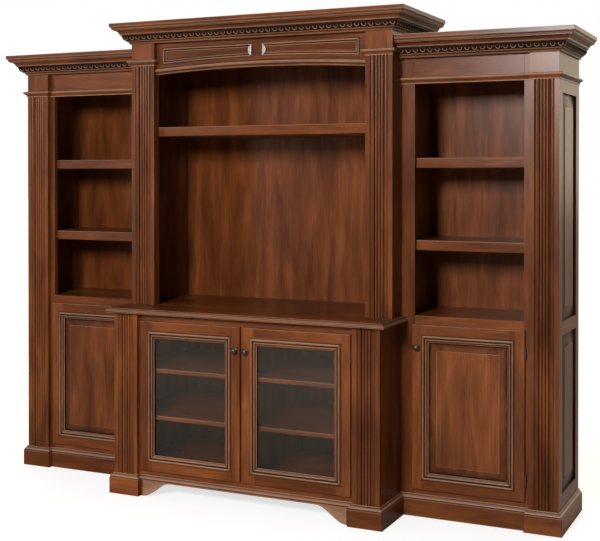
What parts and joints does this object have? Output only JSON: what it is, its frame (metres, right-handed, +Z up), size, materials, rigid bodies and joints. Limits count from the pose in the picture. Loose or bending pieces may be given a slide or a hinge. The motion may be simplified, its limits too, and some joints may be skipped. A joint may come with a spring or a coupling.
{
  "type": "entertainment center",
  "caption": "Wall unit with a hutch over a glazed console between two shelf wings with panelled doors, fluted pilasters and crown mouldings.",
  "frame": {"origin": "on the floor, under the middle of the whole unit's bounding box", "axes": "+X to the viewer's right, +Y towards the wall behind, +Z up"},
  "size_m": [2.7786, 0.6554, 2.134],
  "materials": {
    "stained_wood": "satin",
    "antique_bronze": "antique",
    "smoked_glass": "gloss"
  },
  "bodies": {
    "cabinet": {"left_wing_case": "stained_wood", "left_wing_outer_side": "stained_wood", "left_wing_upper_shelf": "stained_wood", "left_wing_lower_shelf": "stained_wood", "left_wing_face_frame": "stained_wood", "left_wing_pilaster": "stained_wood", "left_wing_crown": "stained_wood", "left_wing_plinth": "stained_wood", "right_wing_case": "stained_wood", "right_wing_outer_side": "stained_wood", "right_wing_upper_shelf": "stained_wood", "right_wing_lower_shelf": "stained_wood", "right_wing_face_frame": "stained_wood", "right_wing_pilaster": "stained_wood", "right_wing_crown": "stained_wood", "right_wing_plinth": "stained_wood", "console_case": "stained_wood", "console_face_frame": "stained_wood", "console_left_pilaster": "stained_wood", "console_right_pilaster": "stained_wood", "console_plinth": "stained_wood", "console_top": "stained_wood", "console_left_upper_shelf": "stained_wood", "console_right_upper_shelf": "stained_wood", "console_left_lower_shelf": "stained_wood", "console_right_lower_shelf": "stained_wood", "hutch_case": "stained_wood", "hutch_shelf": "stained_wood", "hutch_left_pilaster": "stained_wood", "hutch_right_pilaster": "stained_wood", "hutch_valance": "stained_wood", "hutch_crown": "stained_wood", "left_wing_door_upper_hinge_frame_leaf": "antique_bronze", "left_wing_door_lower_hinge_frame_leaf": "antique_bronze", "right_wing_door_upper_hinge_frame_leaf": "antique_bronze", "right_wing_door_lower_hinge_frame_leaf": "antique_bronze", "left_console_door_upper_hinge_frame_leaf": "antique_bronze", "left_console_door_lower_hinge_frame_leaf": "antique_bronze", "right_console_door_upper_hinge_frame_leaf": "antique_bronze", "right_console_door_lower_hinge_frame_leaf": "antique_bronze"},
    "left_wing_door": {"left_wing_door_frame": "stained_wood", "left_wing_door_panel": "stained_wood", "left_wing_door_knob": "antique_bronze", "left_wing_door_upper_hinge_door_leaf": "antique_bronze", "left_wing_door_lower_hinge_door_leaf": "antique_bronze"},
    "right_wing_door": {"right_wing_door_frame": "stained_wood", "right_wing_door_panel": "stained_wood", "right_wing_door_knob": "antique_bronze", "right_wing_door_upper_hinge_door_leaf": "antique_bronze", "right_wing_door_lower_hinge_door_leaf": "antique_bronze"},
    "left_console_door": {"left_console_door_frame": "stained_wood", "left_console_door_glass": "smoked_glass", "left_console_door_knob": "antique_bronze", "left_console_door_upper_hinge_door_leaf": "antique_bronze", "left_console_door_lower_hinge_door_leaf": "antique_bronze"},
    "right_console_door": {"right_console_door_frame": "stained_wood", "right_console_door_glass": "smoked_glass", "right_console_door_knob": "antique_bronze", "right_console_door_upper_hinge_door_leaf": "antique_bronze", "right_console_door_lower_hinge_door_leaf": "antique_bronze"}
  },
  "joints": [
    {"name": "left_wing_door_hinge", "type": "hinge", "parent": "cabinet", "child": "left_wing_door", "pos_m": [-1.1781, -0.05375, 0.114], "axis": [0, 0, -1], "range_deg": [0, 100]},
    {"name": "right_wing_door_hinge", "type": "hinge", "parent": "cabinet", "child": "right_wing_door", "pos_m": [1.1781, -0.05375, 0.114], "axis": [0, 0, 1], "range_deg": [0, 100]},
    {"name": "left_console_door_hinge", "type": "hinge", "parent": "cabinet", "child": "left_console_door", "pos_m": [-0.5133, -0.28675, 0.114], "axis": [0, 0, -1], "range_deg": [0, 100]},
    {"name": "right_console_door_hinge", "type": "hinge", "parent": "cabinet", "child": "right_console_door", "pos_m": [0.5133, -0.28675, 0.114], "axis": [0, 0, 1], "range_deg": [0, 100]}
  ]
}
